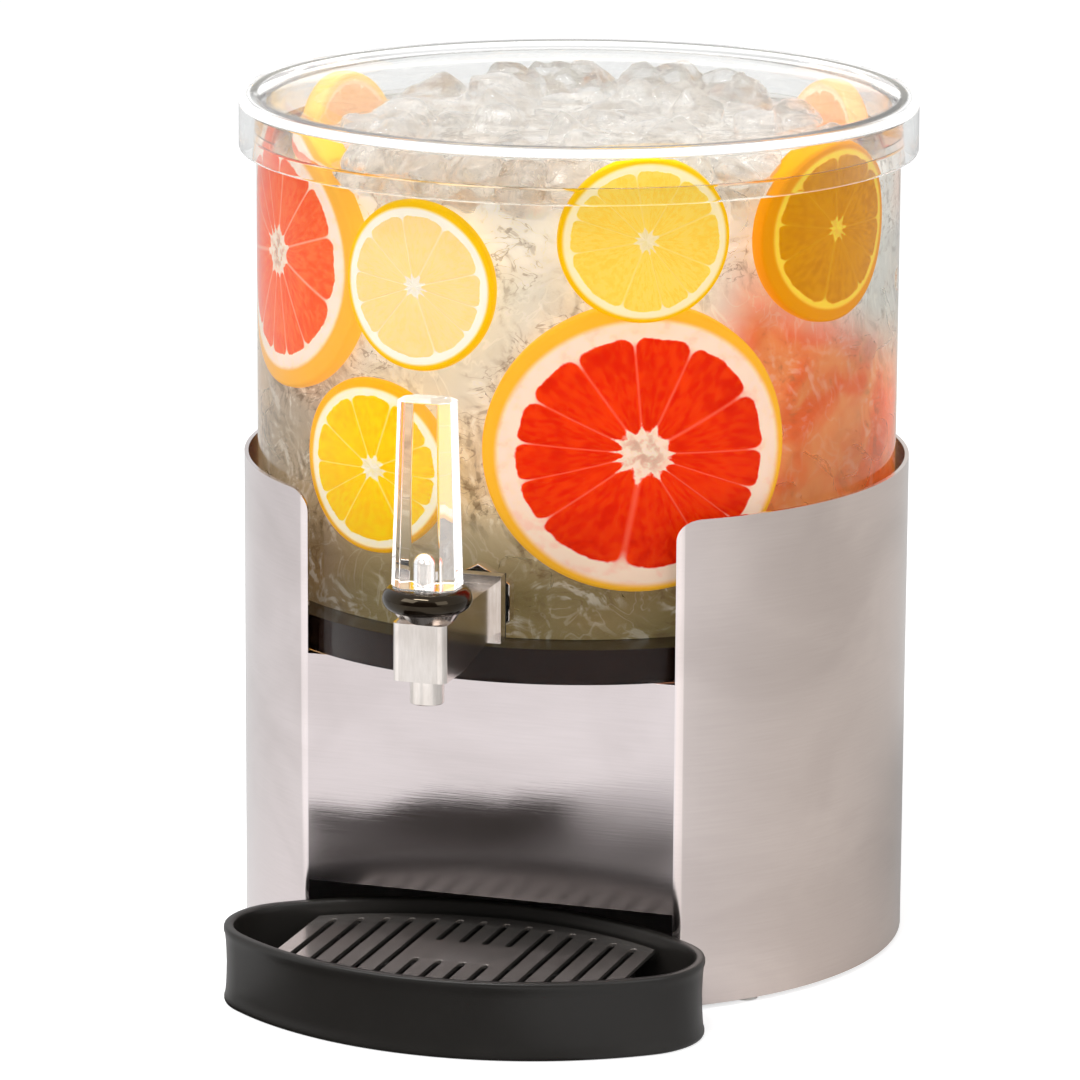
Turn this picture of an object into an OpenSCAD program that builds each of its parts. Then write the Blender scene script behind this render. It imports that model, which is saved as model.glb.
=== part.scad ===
// Round beverage dispenser on a sheet-steel base, with a self-closing tap and a drip tray.
// The table is z = 0, the front is -Y, and the origin is under the middle of the whole object.

/* [Container] */
// Outside diameter of the clear container
tube_d = 240; // [210:1:270]
// Wall of the clear container
tube_wall = 4; // [3:0.5:6]
// Height of the container from the shelf to its top edge
tube_h = 194; // [150:1:260]
// Thickness of the black floor bonded inside the container
floor_t = 12.5; // [8:0.5:20]

/* [Lid] */
// Gap between the container and the lid's skirt
lid_gap = 3.5; // [1:0.5:6]
// Thickness of the lid's disc and skirt
lid_t = 3; // [2:0.5:5]
// Height of the lid's skirt, disc included
lid_h = 20.4; // [12:0.2:40]
// Rounding of the lid's top edge
lid_round = 2; // [0.5:0.5:3]

/* [Base] */
// Gap between the container and the base shell
shell_gap = 3.5; // [2:0.5:8]
// Thickness of the steel sheet
sheet = 1.5; // [1:0.1:2]
// Height of the shelf, and of the flat front panel's top, above the table
shelf_z = 123; // [100:1:180]
// Height of the wings above the shelf
wing_h = 61; // [30:1:100]
// Rounding of the wings' top corners
wing_round = 8; // [2:0.5:12]
// Width of the flat front panel between its bends
panel_w = 141; // [125:1:150]
// Outside radius of the bends beside the panel
bend_r = 6; // [4:0.5:10]
// Height of the shelf's turned-down edge
shelf_edge_h = 15; // [8:1:30]
// Width of the shell's turned-in bottom edge
hem_w = 12; // [11:0.5:20]
// Diameter of the rubber feet under the bottom edge
foot_d = 9; // [6:0.5:10]
// Height of the rubber feet
foot_h = 1.5; // [1:0.5:4]
// Bearing of the feet, from the left-right axis
foot_angle = 40; // [30:1:42]

/* [Drip tray] */
// Width of the oval tray
tray_w = 180; // [170:1:200]
// Depth of the oval tray from front to back
tray_depth = 100; // [90:1:110]
// Height of the tray's rim above the table
tray_h = 29; // [22:0.5:40]
// Radius of the oval's rounded ends
tray_end_r = 28; // [20:1:34]
// Wall and floor of the tray
tray_wall = 3; // [2:0.5:4]
// How far the rim and the foot stand out of the wall
tray_lip = 0.8; // [0.2:0.1:1.5]
// Height of the rim's lip and of the foot
tray_lip_h = 2.5; // [1:0.5:5]
// Gap between the tray and each end of its opening
tray_side_gap = 0.6; // [0.6:0.2:6]
// Room over the tray, under the panel
tray_headroom = 7.5; // [4:0.5:20]
// Width of the grille between its straight ends
grille_w = 130; // [110:1:140]
// Thickness of the grille plate
grille_t = 1.5; // [1:0.1:3]
// Depth of the grille's top below the tray's rim
grille_drop = 5; // [2:0.5:8]
// Gap between the grille's curved edges and the tray's wall
grille_gap = 2; // [1:0.5:4]
// Distance between slot columns
slot_pitch = 8.9; // [6:0.1:9]
// Width of a drain slot
slot_w = 2.7; // [1.5:0.1:4]
// Distance from the slots to the plate's edges
slot_margin = 6; // [3:0.5:10]
// Width of the bare field in the middle of the grille
bare_w = 36; // [20:1:50]
// Depth of the bare field in the middle of the grille
bare_depth = 23; // [10:1:40]
// Diameter of the posts under the grille
post_d = 8; // [5:0.5:12]

/* [Tap body] */
// Height of the tap's inlet above the container's inside floor
tap_rise = 16.5; // [16:0.5:40]
// Distance from the container's wall to the spout's axis
tap_reach = 51.5; // [42:0.5:70]
// Width and height of the square flange
flange_w = 25; // [22:0.5:32]
// Thickness of the flange
flange_t = 5; // [3:0.5:8]
// Thickness of the rubber gaskets at the wall's nearest point
gasket_t = 2; // [1.5:0.5:4]
// Width of the tap's block and square column
block_w = 20; // [18:0.5:24]
// Rounding of the column's upright front edges
block_round = 3; // [1:0.5:5]
// Drop from the collar's top to the block's top
block_step = 0.4; // [0.4:0.1:1]
// Underside of the block below the inlet's axis, at the flange
block_down = 9; // [8.5:0.5:12]
// Underside of the column below the inlet's axis
column_down = 14.5; // [13:0.5:24]
// Diameter of the round collar on the column
collar_d = 24.6; // [22:0.2:28]
// Height of the collar
collar_h = 3.3; // [2:0.1:5]
// Top of the collar above the inlet's axis
collar_up = 9.7; // [9.6:0.1:12]
// Outside diameter of the threaded shank
shank_d = 16; // [14:0.5:18]
// Bore of the inlet through the shank
inlet_d = 9; // [6:0.5:9]
// Length of the shank past the lock nut
shank_end = 4; // [1:0.5:10]
// Width across the lock nut's flats
nut_af = 24; // [20:0.5:26]
// Thickness of the lock nut
nut_t = 6; // [4:0.5:10]
// Outside diameter of the spout nozzle
nozzle_d = 12.3; // [11:0.1:16]
// Length of the nozzle below the column
nozzle_h = 9.5; // [5:0.5:20]
// Outside diameter of the nozzle's neck inside the column
neck_d = 10; // [9:0.2:10.6]
// Length of the nozzle's neck
neck_h = 3.5; // [2:0.1:3.6]

/* [Valve and handle] */
// Bore of the valve chamber
chamber_d = 14; // [13.4:0.1:16]
// Thickness of the seat over the nozzle's neck
seat_t = 2; // [1.5:0.1:2.5]
// Hole in the seat and bore of the nozzle
seat_d = 7; // [5:0.5:7.5]
// Gap around the seat cup, for the drink to pass
cup_gap = 1; // [0.6:0.1:1.5]
// Thickness of the seat cup
cup_h = 5; // [4:0.1:5]
// Diameter of the valve stem
stem_d = 4; // [3:0.1:4.4]
// Diameter of the fork on top of the valve stem
fork_d = 7.2; // [6.4:0.1:7.6]
// Height of the fork
fork_h = 7; // [6.8:0.1:7.2]
// Slot of the fork, across the lever's tongue
fork_slot = 2.8; // [2.6:0.1:3.4]
// Depth of the lever's tongue from front to back
tongue_depth = 4.4; // [3.6:0.1:4.6]
// Width of the seal around the valve stem
seal_w = 1.6; // [1.2:0.1:2]
// Height of the seal around the valve stem
seal_h = 2; // [1.5:0.1:2.5]
// Wire of the closing spring
spring_wire = 0.9; // [0.6:0.1:1.1]
// Mean diameter of the closing spring
spring_d = 10; // [8:0.1:10.4]
// Turns of the closing spring
spring_turns = 4; // [3:1:4]
// Diameter of the round bonnet
bonnet_d = 32; // [30:0.5:40]
// Height of the bonnet above the collar
bonnet_h = 8.7; // [8:0.1:11]
// Room around the fork in the bonnet, for the tilting lever
fork_room = 0.9; // [0.8:0.1:1.5]
// Height of the clear handle
handle_h = 67; // [40:1:100]
// Width of the handle's foot
handle_w = 24; // [20:0.5:30]
// Depth of the handle's foot from front to back
handle_depth = 18; // [16:0.5:22]
// Width of the handle's top
handle_top_w = 20; // [14:0.5:28]
// Depth of the handle's top from front to back
handle_top_depth = 14; // [10:0.5:20]
// Chamfer of the handle's upright edges, at the foot
handle_chamfer = 4.5; // [2:0.5:6]
// Diameter of the metal lever inside the handle
lever_d = 8; // [6:0.5:9]
// Length of the metal lever inside the handle
lever_h = 12; // [8:0.5:20]
// Drop from the handle's foot to the lever's cross pin
pin_drop = 3.8; // [3.8:0.1:4.2]
// Diameter of the cross pin
pin_d = 2; // [1.6:0.1:2.2]

/* [Hidden] */
$fn = 96;
// Facets of the container's wall where a thin gasket lies on it
wide_fn = 720;

// Clearances: bonded or welded joints, running fits and loose parts
bond = 0.05;
run_fit = 0.05;
loose = 0.3;

// Room for the tilting lever: around and behind its pin, beside and under its tongue, and under the fork
pin_room = 0.3;
pin_travel = 0.8;
pin_cover = 0.5;
tongue_gap = 0.2;
tongue_room = 1.2;
fork_drop = 0.5;

// Radii of the round parts
tube_r = tube_d / 2;
tube_in_r = tube_r - tube_wall;
shell_r = tube_r + shell_gap + sheet;
lid_in_r = tube_r + lid_gap;
lid_r = lid_in_r + lid_t;

// Flat front panel, with the centres of its two bends
bend_x = panel_w / 2;
bend_y = sqrt(pow(shell_r - bend_r, 2) - pow(bend_x, 2));
panel_y = bend_y + bend_r;
shell_h = shelf_z + wing_h;

// Feet stand in the middle of the bottom edge, which starts behind the tray
foot_ring_r = shell_r - hem_w / 2;
hem_front = foot_ring_r * sin(foot_angle) + foot_d;

// Oval of the tray: two side arcs, tangent to two end arcs
end_c = tray_w / 2 - tray_end_r;
side_r = (pow(tray_depth / 2, 2) - pow(tray_end_r, 2) + pow(end_c, 2)) / (tray_depth - 2 * tray_end_r);
side_c = side_r - tray_depth / 2;

// The tray goes in until its sides come near the ends of the opening
tray_out = sqrt(pow(side_r + tray_lip, 2) - pow(bend_x - tray_side_gap, 2)) - side_c;
tray_y = panel_y + tray_out;
bay_h = tray_h + tray_headroom;
grille_z = tray_h - grille_drop - grille_t;
grille_side_r = side_r - tray_wall - grille_gap;
slot_columns = 2 * floor((grille_w / 2 - slot_margin) / slot_pitch + 0.5);
post_x = slot_pitch * (slot_columns / 2 - 1);
post_y = grille_edge(post_x) - slot_margin;

// Places along the tap
tap_z = shelf_z + floor_t + tap_rise;
flange_back = tube_r + gasket_t;
flange_front = flange_back + flange_t;
spout_y = tube_r + tap_reach;
column_front = spout_y + block_w / 2;
column_back = spout_y - block_w / 2;
nut_front = tube_in_r - gasket_t;
shank_back = nut_front - nut_t - shank_end;
collar_top = tap_z + collar_up;
block_top = collar_top - block_step;
column_bottom = tap_z - column_down;

// Heights inside the valve
seat_z = column_bottom + neck_h + seat_t;
cup_d = chamber_d - 2 * cup_gap;
cup_skin = 1;
cup_top = seat_z + cup_h;
spigot_z = tap_z + inlet_d / 2 + loose;
bonnet_top = collar_top + bonnet_h;
handle_z = bonnet_top + loose;
pin_z = handle_z - pin_drop;
fork_top = pin_z + pin_d / 2 + pin_room + pin_cover;
fork_z = fork_top - fork_h;
tongue_w = fork_slot - 2 * tongue_gap;
tongue_h = pin_drop + pin_d / 2 + tongue_room;
slot_z = handle_z - tongue_h - tongue_room;
bonnet_bore = fork_d + 2 * fork_room;
bore_z = fork_z - fork_drop;
seal_d = stem_d + 2 * seal_w;
seal_z = (spigot_z + bore_z - seal_h) / 2;

// Share of the handle's foot that is left at its top
handle_taper = [handle_top_w / handle_w, handle_top_depth / handle_depth];

// The container's axis lies behind the middle, because the tap and the tray stand out in front
front_reach = max(spout_y + bonnet_d / 2, tray_y + tray_depth / 2 + tray_lip);
axis_y = (front_reach - max(lid_r, shell_r)) / 2;

steel = [0.76, 0.73, 0.73];
bright_steel = [0.85, 0.83, 0.81];
black_plastic = [0.18, 0.18, 0.17];
black_gloss = [0.14, 0.10, 0.07];
rubber = [0.10, 0.10, 0.10];
clear = [0.93, 0.95, 0.94, 0.35];
silicone = [0.75, 0.76, 0.74];

// Moves a part from the container's axis to the object's own origin
module on_axis() translate([0, axis_y, 0]) children();

// Puts a part on the spout's axis
module on_spout() on_axis() translate([0, -spout_y, 0]) children();

// Puts a part on the tray's middle
module on_tray() on_axis() translate([0, -tray_y, 0]) children();

// Cylinder along the tap's inlet, between two distances in front of the container's axis
module along_inlet(d, back, front)
    translate([0, -back, tap_z]) rotate([90, 0, 0]) cylinder(d = d, h = front - back);

// Outline of the base: a circle with a flat front and rounded bends
module shell_outline(inset) {
    intersection() {
        circle(r = shell_r - inset);
        polygon([
            [-bend_x, inset - panel_y], [bend_x, inset - panel_y], [bend_x, -bend_y],
            [2 * bend_x, -2 * bend_y], [2 * shell_r, 2 * shell_r], [-2 * shell_r, 2 * shell_r],
            [-2 * bend_x, -2 * bend_y], [-bend_x, -bend_y],
        ]);
    }
    for (side = [-1, 1]) translate([side * bend_x, -bend_y]) circle(r = bend_r - inset);
}

// Wall that follows the base's outline
module shell_wall(inset) {
    difference() {
        shell_outline(inset);
        shell_outline(inset + sheet);
    }
}

// Front view of the cut-out between the wings, with their top corners rounded
module wing_cutout() {
    corner_x = bend_x + wing_round;
    translate([-bend_x, shelf_z]) square([panel_w, 2 * wing_h]);
    difference() {
        translate([-corner_x, shell_h - wing_round]) square([2 * corner_x, 2 * wing_round]);
        for (side = [-1, 1]) translate([side * corner_x, shell_h - wing_round]) circle(r = wing_round);
    }
}

// Front view of the opening that the tray slides into
module bay_cutout() translate([-bend_x, -1]) square([panel_w, bay_h + 1]);

// Rolled and bent sheet: the flat panel, both wings and the round back in one piece
module base_shell() color(steel) on_axis() {
    difference() {
        translate([0, 0, foot_h]) linear_extrude(shell_h - foot_h) shell_wall(0);
        rotate([90, 0, 0]) linear_extrude(2 * shell_r) {
            wing_cutout();
            bay_cutout();
        }
    }
    translate([0, 0, foot_h]) linear_extrude(sheet) difference() {
        circle(r = shell_r - sheet / 2);
        circle(r = shell_r - hem_w);
        translate([-shell_r, -hem_front - 2 * shell_r]) square(2 * shell_r);
    }
}

// Shelf that carries the container, welded in by its turned-down edge
module shelf_plate() color(steel) on_axis() {
    translate([0, 0, shelf_z - sheet]) linear_extrude(sheet) shell_outline(sheet + bond);
    translate([0, 0, shelf_z - shelf_edge_h]) linear_extrude(shelf_edge_h) shell_wall(sheet + bond);
}

module base_feet() color(rubber) on_axis() {
    for (side = [0, 1], end = [-1, 1])
        rotate(180 * side + end * foot_angle) translate([foot_ring_r, 0]) cylinder(d = foot_d, h = foot_h);
}

module container_tube() color(clear) on_axis() difference() {
    translate([0, 0, shelf_z]) cylinder(r = tube_r, h = tube_h);
    translate([0, 0, shelf_z - 1]) cylinder(r = tube_in_r, h = tube_h + 2);
    along_inlet(shank_d + 2 * loose, tube_in_r - tube_wall, tube_r + tube_wall);
}

module container_floor() color(black_plastic) on_axis()
    translate([0, 0, shelf_z]) cylinder(r = tube_in_r - bond, h = floor_t);

// Loose lid: a disc on the container's edge, with a skirt around it
module lid() color(clear) on_axis() translate([0, 0, shelf_z + tube_h + lid_t - lid_h]) rotate_extrude() {
    difference() {
        union() {
            square([lid_r, lid_h - lid_round]);
            square([lid_r - lid_round, lid_h]);
            translate([lid_r - lid_round, lid_h - lid_round]) circle(r = lid_round);
        }
        translate([-1, -1]) square([lid_in_r + 1, lid_h - lid_t + 1]);
        translate([-lid_r, 0]) square([lid_r, lid_h]);
    }
}

// Side view of the tap's block and column, drawn forwards along X
module tap_side() polygon([
    [flange_back, block_top], [spout_y, block_top], [spout_y, collar_top - collar_h],
    [column_front, collar_top - collar_h], [column_front, column_bottom], [column_back, column_bottom],
    [flange_front, tap_z - block_down], [flange_back, tap_z - block_down],
]);

// Top view of the tap's block and column
module tap_plan() {
    flat_w = block_w - 2 * block_round;
    translate([-block_w / 2, block_round - column_front]) square([block_w, column_front]);
    translate([-flat_w / 2, -column_front]) square([flat_w, column_front]);
    for (side = [-1, 1]) translate([side * flat_w / 2, block_round - column_front]) circle(r = block_round);
}

module tap_body() color(bright_steel) on_axis() difference() {
    union() {
        intersection() {
            rotate([90, 0, -90]) translate([0, 0, -block_w / 2]) linear_extrude(block_w) tap_side();
            translate([0, 0, column_bottom - 1]) linear_extrude(bonnet_top) tap_plan();
        }
        translate([-flange_w / 2, -flange_front, tap_z - flange_w / 2]) cube([flange_w, flange_t, flange_w]);
        translate([0, -spout_y, collar_top - collar_h]) cylinder(d1 = block_w, d2 = collar_d, h = collar_h);
        along_inlet(shank_d, shank_back, flange_front);
    }
    along_inlet(inlet_d, shank_back - 1, spout_y);
    translate([0, -spout_y, 0]) {
        translate([0, 0, seat_z]) cylinder(d = chamber_d, h = collar_top);
        translate([0, 0, column_bottom - 1]) cylinder(d = neck_d, h = neck_h + 1);
        translate([0, 0, column_bottom]) cylinder(d = seat_d, h = seat_z - column_bottom + 1);
    }
}

module spout_nozzle() color(bright_steel) on_spout() translate([0, 0, column_bottom]) difference() {
    union() {
        translate([0, 0, -nozzle_h]) cylinder(d = nozzle_d, h = nozzle_h);
        translate([0, 0, -nozzle_h]) cylinder(d = neck_d - 2 * bond, h = nozzle_h + neck_h);
    }
    translate([0, 0, -nozzle_h - 1]) cylinder(d = seat_d, h = nozzle_h + neck_h + 2);
}

// Square gasket between the flange and the round wall
module outer_gasket() color(rubber) on_axis() difference() {
    gasket_w = flange_w - 1;
    translate([-gasket_w / 2, -flange_back, tap_z - gasket_w / 2]) cube([gasket_w, 2 * gasket_t, gasket_w]);
    translate([0, 0, shelf_z]) cylinder(r = tube_r + bond, h = tube_h, $fn = wide_fn);
    along_inlet(shank_d + 2 * bond, tube_in_r, spout_y);
}

// Round gasket between the wall and the lock nut
module inner_gasket() color(rubber) on_axis() intersection() {
    difference() {
        along_inlet(nut_af, nut_front, tube_r);
        along_inlet(shank_d + 2 * bond, nut_front - 1, tube_r + 1);
    }
    translate([0, 0, shelf_z]) cylinder(r = tube_in_r - bond, h = tube_h, $fn = wide_fn);
}

module lock_nut() color(bright_steel) on_axis() difference() {
    translate([0, -nut_front, tap_z]) rotate([-90, 30, 0]) cylinder(d = nut_af / cos(30), h = nut_t, $fn = 6);
    along_inlet(shank_d + 2 * bond, nut_front - nut_t - 1, nut_front + 1);
}

// Round cap over the valve: its spigot fills the chamber's top and guides the valve stem
module bonnet_cap() color(black_gloss) on_spout() rotate_extrude() difference() {
    union() {
        translate([0, collar_top]) square([bonnet_d / 2 - bonnet_h / 2, bonnet_h]);
        translate([bonnet_d / 2 - bonnet_h / 2, collar_top + bonnet_h / 2]) circle(d = bonnet_h);
        translate([0, spigot_z]) square([chamber_d / 2 - bond, collar_top - spigot_z]);
    }
    translate([-1, bore_z]) square([bonnet_bore / 2 + 1, bonnet_top]);
    translate([-1, seal_z]) square([seal_d / 2 + 1, seal_h]);
    translate([-1, 0]) square([stem_d / 2 + run_fit + 1, bonnet_top]);
}

// Ring that keeps the drink below the bonnet
module stem_seal() color(silicone) on_spout() rotate_extrude()
    translate([stem_d / 2 + run_fit, seal_z + bond])
        square([(seal_d - stem_d) / 2 - run_fit - bond, seal_h - 2 * bond]);

// Valve stem, with a fork whose long holes let the lever's pin tilt
module valve_stem() color(bright_steel) on_spout() difference() {
    union() {
        translate([0, 0, seat_z + cup_skin]) cylinder(d = stem_d, h = fork_z - seat_z);
        translate([0, 0, fork_z]) cylinder(d = fork_d, h = fork_top - fork_z);
    }
    translate([-fork_slot / 2, -fork_d, slot_z]) cube([fork_slot, 2 * fork_d, fork_top]);
    translate([-fork_d, 0, pin_z]) rotate([90, 0, 90]) linear_extrude(2 * fork_d) {
        hole_r = pin_d / 2 + pin_room;
        circle(r = hole_r);
        translate([0, -hole_r]) square([pin_travel, 2 * hole_r]);
        translate([pin_travel, 0]) circle(r = hole_r);
    }
}

module seat_cup() color(silicone) on_spout() translate([0, 0, seat_z]) difference() {
    cylinder(d = cup_d, h = cup_h);
    translate([0, 0, cup_skin]) cylinder(d = stem_d + 2 * bond, h = cup_h);
}

// Compression spring between the seat cup and the bonnet's spigot
module closing_spring() color(steel) on_spout() {
    wire_r = spring_wire / 2;
    rings = 16 * spring_turns;
    sides = 6;
    rise = spigot_z - cup_top - spring_wire;
    points = [
        for (ring = [0 : rings], side = [0 : sides - 1])
        let (turn = 360 * spring_turns * ring / rings, around = 360 * side / sides)
        let (r = spring_d / 2 + wire_r * cos(around))
        [r * cos(turn), r * sin(turn), cup_top + wire_r + rise * ring / rings + wire_r * sin(around)]
    ];
    skin = [
        for (ring = [0 : rings - 1], side = [0 : sides - 1])
        let (next = (side + 1) % sides, here = sides * ring, ahead = sides * (ring + 1))
        each [[here + side, here + next, ahead + next], [here + side, ahead + next, ahead + side]]
    ];
    first_cap = [for (side = [1 : sides - 2]) [0, side + 1, side]];
    last_cap = [for (side = [1 : sides - 2]) [0, side, side + 1] + sides * rings * [1, 1, 1]];
    polyhedron(points, concat(skin, first_cap, last_cap));
}

// Outline of the handle's foot with its upright edges chamfered
module handle_foot() {
    x = handle_w / 2;
    y = handle_depth / 2;
    c = handle_chamfer;
    polygon([
        [x - c, -y], [x, c - y], [x, y - c], [x - c, y],
        [c - x, y], [-x, y - c], [-x, c - y], [c - x, -y],
    ]);
}

// Metal lever with a round top, drawn around the spout's axis
module lever_core(gap) rotate_extrude() intersection() {
    union() {
        translate([0, handle_z]) square([lever_d / 2 + gap, lever_h - lever_d / 2]);
        translate([0, handle_z + lever_h - lever_d / 2]) circle(r = lever_d / 2 + gap);
    }
    translate([0, handle_z]) square([lever_d, lever_h + gap]);
}

// Tapered clear handle, bonded on the metal lever
module tap_handle() color(clear) on_spout() difference() {
    translate([0, 0, handle_z])
        linear_extrude(handle_h, scale = handle_taper, slices = 1, segments = 8) handle_foot();
    lever_core(bond);
}

// Lever inside the handle, with a flat tongue that reaches down into the fork
module lever_stem() color(bright_steel) on_spout() difference() {
    union() {
        lever_core(0);
        translate([-tongue_w / 2, -tongue_depth / 2, handle_z - tongue_h])
            cube([tongue_w, tongue_depth, tongue_h + 1]);
    }
    translate([-lever_d, 0, pin_z]) rotate([0, 90, 0]) cylinder(d = pin_d + 2 * bond, h = 2 * lever_d);
}

module lever_pin() color(steel) on_spout()
    translate([-fork_d / 2, 0, pin_z]) rotate([0, 90, 0]) cylinder(d = pin_d, h = fork_d);

// Oval of the tray
module tray_outline(inset) {
    intersection() {
        translate([0, -side_c]) circle(r = side_r - inset);
        translate([0, side_c]) circle(r = side_r - inset);
        polygon([
            [end_c, 0], [3 * end_c, 2 * side_c], [-3 * end_c, 2 * side_c],
            [-end_c, 0], [-3 * end_c, -2 * side_c], [3 * end_c, -2 * side_c],
        ]);
    }
    for (side = [-1, 1]) translate([side * end_c, 0]) circle(r = tray_end_r - inset);
}

// Oval tray with a lip, a foot, and four posts for the grille
module drip_tray() color(black_plastic) on_tray() {
    linear_extrude(tray_wall) tray_outline(0);
    linear_extrude(tray_h) difference() {
        tray_outline(0);
        tray_outline(tray_wall);
    }
    for (z = [0, tray_h - tray_lip_h]) translate([0, 0, z]) linear_extrude(tray_lip_h) difference() {
        tray_outline(-tray_lip);
        tray_outline(tray_wall / 2);
    }
    for (x = [-post_x, post_x], y = [-post_y, post_y])
        translate([x, y, tray_wall / 2]) cylinder(d = post_d, h = grille_z - tray_wall / 2);
}

// Half the grille's depth at a distance from its middle
function grille_edge(x) = sqrt(pow(grille_side_r, 2) - pow(x, 2)) - side_c;

// Drain slot with round ends
module slot(x, from, to) {
    translate([x - slot_w / 2, from]) square([slot_w, to - from]);
    for (y = [from, to]) translate([x, y]) circle(d = slot_w);
}

// Flat plate in the tray
module drip_grille() color(steel) on_tray()
    translate([0, 0, grille_z]) linear_extrude(grille_t) grille_outline();

// Outline of the plate, with drain slots around a bare field
module grille_outline() difference() {
    intersection() {
        tray_outline(tray_wall + grille_gap);
        square([grille_w, tray_depth], center = true);
    }
    for (column = [0 : slot_columns - 1]) {
        x = slot_pitch * (column - (slot_columns - 1) / 2);
        reach = grille_edge(x) - slot_margin - slot_w / 2;
        if (abs(x) > bare_w / 2) {
            slot(x, -reach, reach);
        } else {
            inner = bare_depth / 2 + slot_w / 2;
            slot(x, inner, reach);
            slot(x, -reach, -inner);
        }
    }
}

base_shell();
shelf_plate();
base_feet();
container_tube();
container_floor();
lid();
tap_body();
spout_nozzle();
outer_gasket();
inner_gasket();
lock_nut();
bonnet_cap();
stem_seal();
valve_stem();
seat_cup();
closing_spring();
tap_handle();
lever_stem();
lever_pin();
drip_tray();
drip_grille();
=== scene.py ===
import math
import random

import bmesh
import bpy
from mathutils import Euler, Matrix, Vector, noise


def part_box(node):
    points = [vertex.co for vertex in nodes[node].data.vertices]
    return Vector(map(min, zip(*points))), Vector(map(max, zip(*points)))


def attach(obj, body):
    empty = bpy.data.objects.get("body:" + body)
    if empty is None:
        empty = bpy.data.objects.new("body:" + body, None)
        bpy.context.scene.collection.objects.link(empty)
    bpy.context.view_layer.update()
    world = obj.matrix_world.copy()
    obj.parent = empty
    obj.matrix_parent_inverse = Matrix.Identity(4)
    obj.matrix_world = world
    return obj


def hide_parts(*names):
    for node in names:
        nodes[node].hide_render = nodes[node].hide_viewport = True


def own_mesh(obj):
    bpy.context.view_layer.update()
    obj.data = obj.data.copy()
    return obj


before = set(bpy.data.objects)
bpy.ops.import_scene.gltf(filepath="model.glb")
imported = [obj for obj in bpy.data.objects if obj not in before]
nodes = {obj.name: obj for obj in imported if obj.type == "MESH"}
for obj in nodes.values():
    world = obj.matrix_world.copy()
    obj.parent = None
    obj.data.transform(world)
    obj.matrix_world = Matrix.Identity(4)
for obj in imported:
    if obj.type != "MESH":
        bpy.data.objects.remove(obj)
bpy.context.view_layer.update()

MM = 0.001

# Photograph's view: where the camera stands, how it is turned, and its lens
EYE = Vector((0.7191, -2.2165, 0.7108))
YAW, PITCH, ROLL = (math.radians(angle) for angle in (18.076, 13.41, 0.325))
LENS, SENSOR = 213.89, 36.0

# Container, with the wall and the running gaps that the part has
WALL = 4 * MM
tube_low, tube_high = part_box("container_tube")
_, floor_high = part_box("container_floor")
lid_low, lid_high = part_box("lid")
AXIS = Vector(((tube_low.x + tube_high.x) / 2, (tube_low.y + tube_high.y) / 2, 0))
TUBE_R = (tube_high.x - tube_low.x) / 2
INNER_R = TUBE_R - WALL
LID_R = (lid_high.x - lid_low.x) / 2
LID_T = lid_high.z - tube_high.z
AROUND = 256

# Contents: the drink's level, how far its skin lies in the clear wall, and the cloudy ice in its middle
LEVEL = tube_high.z - 13.5 * MM
SKIN = 0.25 * MM
SLUSH_R = 97 * MM
FRUIT_R = INNER_R - 0.4 * MM
# Light that comes through the fruit and the crushed ice from behind, as a share of their colour
FRUIT_GLOW = 0.52
SLUSH_GLOW = 0.45
# Air between clear pieces that touch, so that each face is seen by itself
AIR = 0.15 * MM


# Meshes

def piece(name, mesh, material, body, smooth_angle=35):
    """New object on a body, smooth apart from edges sharper than the angle."""
    obj = bpy.data.objects.new(name, mesh)
    bpy.context.scene.collection.objects.link(obj)
    mesh.shade_smooth()
    mesh.set_sharp_from_angle(angle=math.radians(smooth_angle))
    mesh.materials.clear()
    mesh.materials.append(material)
    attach(obj, body)
    return obj


def mesh_from(name, build):
    """Mesh that a function fills through a bmesh."""
    bm = bmesh.new()
    build(bm)
    bmesh.ops.recalc_face_normals(bm, faces=bm.faces)
    mesh = bpy.data.meshes.new(name)
    bm.to_mesh(mesh)
    bm.free()
    return mesh


def skin_rings(bm, rings, closed):
    """Quads between rings of vertices, and from the last ring to the first if closed."""
    pairs = list(zip(rings, rings[1:]))
    if closed:
        pairs.append((rings[-1], rings[0]))
    for one, two in pairs:
        for i, corner in enumerate(one):
            after = (i + 1) % len(one)
            bm.faces.new((corner, one[after], two[after], two[i]))


def arc(centre, radius, start, end, steps=6):
    """Points of an arc in a profile, from one angle to another in degrees."""
    angles = (math.radians(start + (end - start) * i / steps) for i in range(steps + 1))
    return [(centre[0] + radius * math.cos(a), centre[1] + radius * math.sin(a)) for a in angles]


def lathe(bm, profile, closed, around=AROUND, centre=AXIS):
    """Turns a profile of (radius, height) about an upright axis, with caps on an open profile."""
    rings = []
    for radius, height in profile:
        turns = (2 * math.pi * i / around for i in range(around))
        ring = [(radius * math.cos(t), radius * math.sin(t), height) for t in turns]
        rings.append([bm.verts.new(Vector(p) + centre) for p in ring])
    skin_rings(bm, rings, closed)
    if not closed:
        bm.faces.new(rings[0])
        bm.faces.new(rings[-1])


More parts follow.
